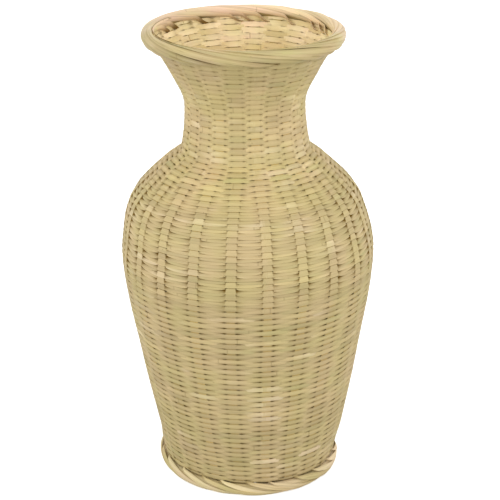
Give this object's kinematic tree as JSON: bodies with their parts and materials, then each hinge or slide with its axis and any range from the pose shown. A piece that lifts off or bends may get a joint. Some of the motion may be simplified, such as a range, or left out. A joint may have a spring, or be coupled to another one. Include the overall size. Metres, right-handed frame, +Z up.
{
  "type": "woven vase",
  "caption": "Tall round flower vase of woven cane: tapered foot, full belly, narrow neck, flared mouth, with a rolled rim and foot.",
  "frame": {"origin": "middle of the foot, on the surface that the vase stands on", "axes": "+Z up along the vase's axis; -Y faces the viewer of the picture, half way between two stakes"},
  "size_m": [0.2182, 0.2172, 0.4],
  "materials": {
    "stake": "dry split cane, matt",
    "weaver": "straw-coloured split cane, matt with a slight sheen",
    "base_weave": "darker cane, matt",
    "border": "paler and pinkish cane strands, satin"
  },
  "bodies": {
    "root": {"stake_01": "stake", "stake_02": "stake", "stake_03": "stake", "stake_04": "stake", "stake_05": "stake", "stake_06": "stake", "stake_07": "stake", "stake_08": "stake", "stake_09": "stake", "stake_10": "stake", "stake_11": "stake", "stake_12": "stake", "stake_13": "stake", "stake_14": "stake", "stake_15": "stake", "stake_16": "stake", "stake_17": "stake", "stake_18": "stake", "stake_19": "stake", "stake_20": "stake", "stake_21": "stake", "stake_22": "stake", "wall_course_01": "weaver", "wall_course_02": "weaver", "wall_course_03": "weaver", "wall_course_04": "weaver", "wall_course_05": "weaver", "wall_course_06": "weaver", "wall_course_07": "weaver", "wall_course_08": "weaver", "wall_course_09": "weaver", "wall_course_10": "weaver", "wall_course_11": "weaver", "wall_course_12": "weaver", "wall_course_13": "weaver", "wall_course_14": "weaver", "wall_course_15": "weaver", "wall_course_16": "weaver", "wall_course_17": "weaver", "wall_course_18": "weaver", "wall_course_19": "weaver", "wall_course_20": "weaver", "wall_course_21": "weaver", "wall_course_22": "weaver", "base_course_1": "base_weave", "base_course_2": "base_weave", "base_mat": "base_weave", "rim_hoop": "border", "rim_strand_1": "border", "rim_strand_2": "border", "rim_strand_3": "border", "rim_strand_4": "border", "rim_strand_5": "border", "rim_strand_6": "border", "rim_strand_7": "border", "foot_hoop": "border", "foot_strand_1": "border", "foot_strand_2": "border", "foot_strand_3": "border"}
  },
  "joints": []
}
